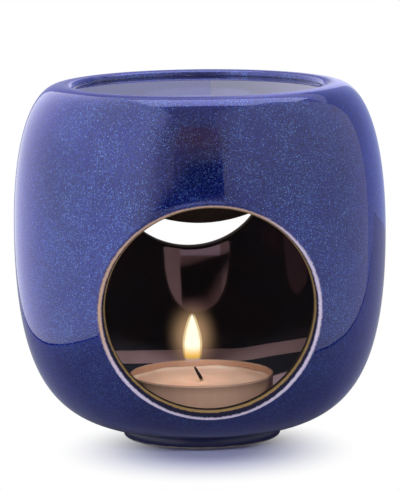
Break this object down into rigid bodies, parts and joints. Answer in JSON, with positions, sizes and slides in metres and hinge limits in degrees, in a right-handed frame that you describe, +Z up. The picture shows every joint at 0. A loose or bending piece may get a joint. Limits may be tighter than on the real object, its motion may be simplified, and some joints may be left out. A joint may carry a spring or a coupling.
{
  "type": "essential oil burner",
  "caption": "Round glazed ceramic oil burner: an open water bowl in the brim, a round doorway and a rear vent, with a tealight inside.",
  "frame": {"origin": "middle of the foot's resting face, on the table", "axes": "+Z up along the body's axis of revolution; the doorway faces -Y and the vent faces +Y"},
  "size_m": [0.097, 0.096, 0.0928],
  "materials": {
    "blue_glaze": "gloss, fine blue speckle",
    "foot_glaze": "gloss, bare clay where it rests",
    "foil": "drawn foil, satin",
    "wax": "paraffin wax, soft sheen",
    "burnt_cotton": "braided cotton, charred",
    "tinned_steel": "pressed sheet"
  },
  "bodies": {
    "burner": {"body_shell": "blue_glaze", "oil_bowl": "blue_glaze", "foot_ring": "foot_glaze"},
    "tealight": {"tealight_cup": "foil", "tealight_wax": "wax", "wick": "burnt_cotton", "wick_sustainer": "tinned_steel"}
  },
  "joints": [
    {"name": "tealight_lift", "type": "slide", "parent": "burner", "child": "tealight", "axis": [0, -0.8192, 0.5736], "range_m": [0, 0.09]}
  ]
}
